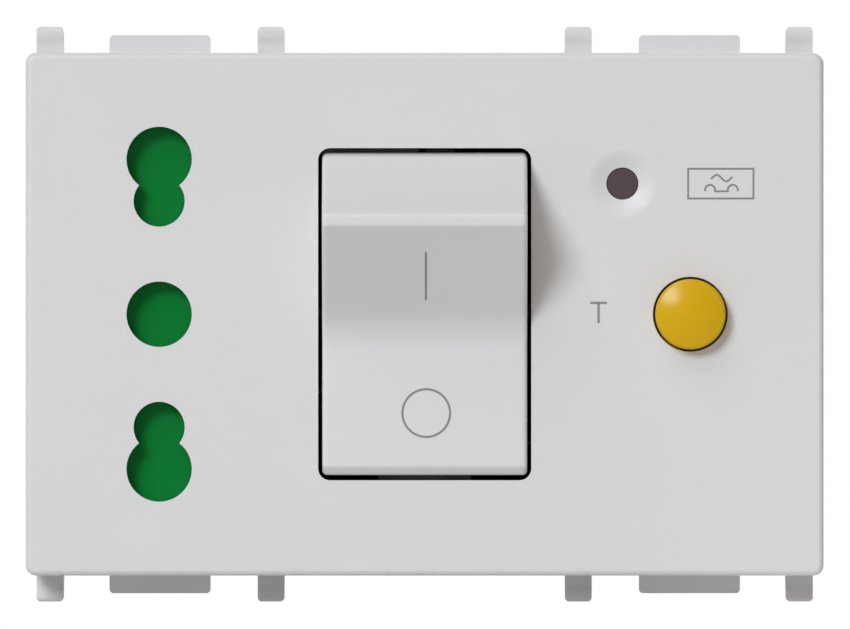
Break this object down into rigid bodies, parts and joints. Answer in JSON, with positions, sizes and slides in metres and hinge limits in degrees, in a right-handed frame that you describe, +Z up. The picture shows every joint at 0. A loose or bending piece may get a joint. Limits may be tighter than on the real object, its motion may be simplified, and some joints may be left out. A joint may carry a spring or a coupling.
{
  "type": "socket with circuit breaker",
  "caption": "Flush wiring module with a shuttered round-pin socket, a wide breaker rocker, a small indicator and a round test button.",
  "frame": {"origin": "centre of the seating plane, where the four wide tabs rest on the support frame, in the middle of the body's width and height", "axes": "+X to the right seen from the front, +Y from the front face to the back, +Z up"},
  "size_m": [0.067, 0.0545, 0.0486],
  "materials": {
    "cover_plastic": "fine satin, light grey",
    "rocker_plastic": "satin, light grey",
    "housing_plastic": "satin, mid grey",
    "carrier_plastic": "matte, off-white",
    "mechanism_plastic": "matte, black glass-filled",
    "shutter_plastic": "satin, green",
    "button_plastic": "glossy, yellow",
    "lens_plastic": "glossy, dark tint",
    "lamp_plastic": "clear, pale red",
    "zinc_steel": "zinc plated",
    "spring_steel": "bright drawn wire and strip",
    "bimetal": "bare rolled strip",
    "copper": "bare copper",
    "enamelled_copper": "enamelled copper",
    "contact_brass": "bare rolled brass",
    "fibre_board": "matte fibre",
    "ferrite": "matte, dark grey",
    "board_laminate": "satin, green",
    "component_plastic": "matte, black",
    "resistor_ceramic": "matte, beige",
    "brown_cable": "satin, brown",
    "blue_cable": "satin, blue",
    "earth_cable": "satin, green and yellow"
  },
  "bodies": {
    "device": {"front_cover": "cover_plastic", "rear_housing": "housing_plastic", "contact_carrier": "carrier_plastic", "button_guide": "carrier_plastic", "chassis": "mechanism_plastic", "coil_tube": "mechanism_plastic", "trip_relay": "mechanism_plastic", "indicator_lens": "lens_plastic", "indicator_lamp": "lamp_plastic", "case_screws": "zinc_steel", "rocker_pin": "zinc_steel", "shaft_pin": "zinc_steel", "trip_pin": "zinc_steel", "coil_yoke": "zinc_steel", "arc_plates": "zinc_steel", "opening_spring": "spring_steel", "trip_spring": "spring_steel", "plunger_spring": "spring_steel", "button_spring": "spring_steel", "shutter_spring": "spring_steel", "contact_clips": "spring_steel", "test_leaf": "spring_steel", "bimetal_strip": "bimetal", "arm_braids": "copper", "trip_coil": "enamelled_copper", "transformer_winding": "enamelled_copper", "fixed_contact_line": "contact_brass", "fixed_contact_neutral": "contact_brass", "socket_contact_line": "contact_brass", "socket_contact_earth": "contact_brass", "socket_contact_neutral": "contact_brass", "terminal_bar_earth": "contact_brass", "terminal_bar_neutral": "contact_brass", "terminal_bar_line": "contact_brass", "arc_side": "fibre_board", "transformer_core": "ferrite", "circuit_board": "board_laminate", "board_parts": "component_plastic", "test_resistor": "resistor_ceramic", "lead_line": "brown_cable", "lead_neutral": "blue_cable", "lead_earth": "earth_cable"},
    "rocker": {"rocker": "rocker_plastic"},
    "link": {"link": "zinc_steel"},
    "contact_shaft": {"contact_shaft": "mechanism_plastic", "moving_contact_line": "copper", "moving_contact_neutral": "copper"},
    "trip_bar": {"trip_bar": "mechanism_plastic"},
    "coil_plunger": {"coil_plunger": "zinc_steel"},
    "relay_pin": {"relay_pin": "zinc_steel"},
    "test_button": {"test_button": "button_plastic"},
    "shutter": {"shutter": "shutter_plastic"},
    "terminal_cage_earth": {"terminal_cage_earth": "zinc_steel"},
    "terminal_screw_earth": {"terminal_screw_earth": "zinc_steel"},
    "terminal_cage_neutral": {"terminal_cage_neutral": "zinc_steel"},
    "terminal_screw_neutral": {"terminal_screw_neutral": "zinc_steel"},
    "terminal_cage_line": {"terminal_cage_line": "zinc_steel"},
    "terminal_screw_line": {"terminal_screw_line": "zinc_steel"}
  },
  "joints": [
    {"name": "rocker_swing", "type": "hinge", "parent": "device", "child": "rocker", "pos_m": [0, -0.0057, 0], "axis": [-1, 0, 0], "range_deg": [0, 44]},
    {"name": "link_swing", "type": "hinge", "parent": "rocker", "child": "link", "pos_m": [0, 0.00079, 0.00262], "axis": [1, 0, 0], "range_deg": [0, 44]},
    {"name": "contact_swing", "type": "hinge", "parent": "device", "child": "contact_shaft", "pos_m": [0, 0.01044, -0.0065], "axis": [1, 0, 0], "range_deg": [0, 30.41], "deforming": ["opening_spring", "arm_braids"]},
    {"name": "trip_swing", "type": "hinge", "parent": "device", "child": "trip_bar", "pos_m": [0, 0.0104, 0.008], "axis": [1, 0, 0], "range_deg": [0, 15], "stiffness_Nm_per_rad": 0.0005, "springref_deg": -17.19, "deforming": ["trip_spring"]},
    {"name": "plunger_slide", "type": "slide", "parent": "device", "child": "coil_plunger", "axis": [0, -1, 0], "range_m": [0, 0.0006], "stiffness_N_per_m": 60, "springref_m": -0.003, "deforming": ["plunger_spring"]},
    {"name": "relay_slide", "type": "slide", "parent": "device", "child": "relay_pin", "axis": [0, -1, 0], "range_m": [0, 0.0006]},
    {"name": "test_press", "type": "slide", "parent": "device", "child": "test_button", "axis": [0, 1, 0], "range_m": [0, 0.0015], "stiffness_N_per_m": 150, "springref_m": -0.002, "deforming": ["button_spring", "test_leaf"]},
    {"name": "shutter_slide", "type": "slide", "parent": "device", "child": "shutter", "axis": [1, 0, 0], "range_m": [0, 0.0066], "stiffness_N_per_m": 40, "springref_m": -0.004, "deforming": ["shutter_spring"]},
    {"name": "terminal_turn_earth", "type": "hinge", "parent": "device", "child": "terminal_screw_earth", "pos_m": [-0.0195, 0.0367, -0.01475], "axis": [0, -1, 0], "range_deg": [0, 1800.01]},
    {"name": "cage_draw_earth", "type": "slide", "parent": "device", "child": "terminal_cage_earth", "axis": [0, 1, 0], "range_m": [0, 0.0035]},
    {"name": "terminal_turn_neutral", "type": "hinge", "parent": "device", "child": "terminal_screw_neutral", "pos_m": [0, 0.0367, -0.01475], "axis": [0, -1, 0], "range_deg": [0, 1800.01]},
    {"name": "cage_draw_neutral", "type": "slide", "parent": "device", "child": "terminal_cage_neutral", "axis": [0, 1, 0], "range_m": [0, 0.0035]},
    {"name": "terminal_turn_line", "type": "hinge", "parent": "device", "child": "terminal_screw_line", "pos_m": [0.0195, 0.0367, -0.01475], "axis": [0, -1, 0], "range_deg": [0, 1800.01]},
    {"name": "cage_draw_line", "type": "slide", "parent": "device", "child": "terminal_cage_line", "axis": [0, 1, 0], "range_m": [0, 0.0035]}
  ],
  "couplings": [
    {"joint": "link_swing", "follows": "rocker_swing", "ratio": 1},
    {"joint": "contact_swing", "follows": "rocker_swing", "ratio": 0.691},
    {"joint": "trip_swing", "follows": "plunger_slide", "rad_per_m": 435},
    {"joint": "relay_slide", "follows": "plunger_slide", "ratio": 1},
    {"joint": "terminal_turn_earth", "follows": "cage_draw_earth", "rad_per_m": 8976},
    {"joint": "terminal_turn_neutral", "follows": "cage_draw_neutral", "rad_per_m": 8976},
    {"joint": "terminal_turn_line", "follows": "cage_draw_line", "rad_per_m": 8976}
  ]
}
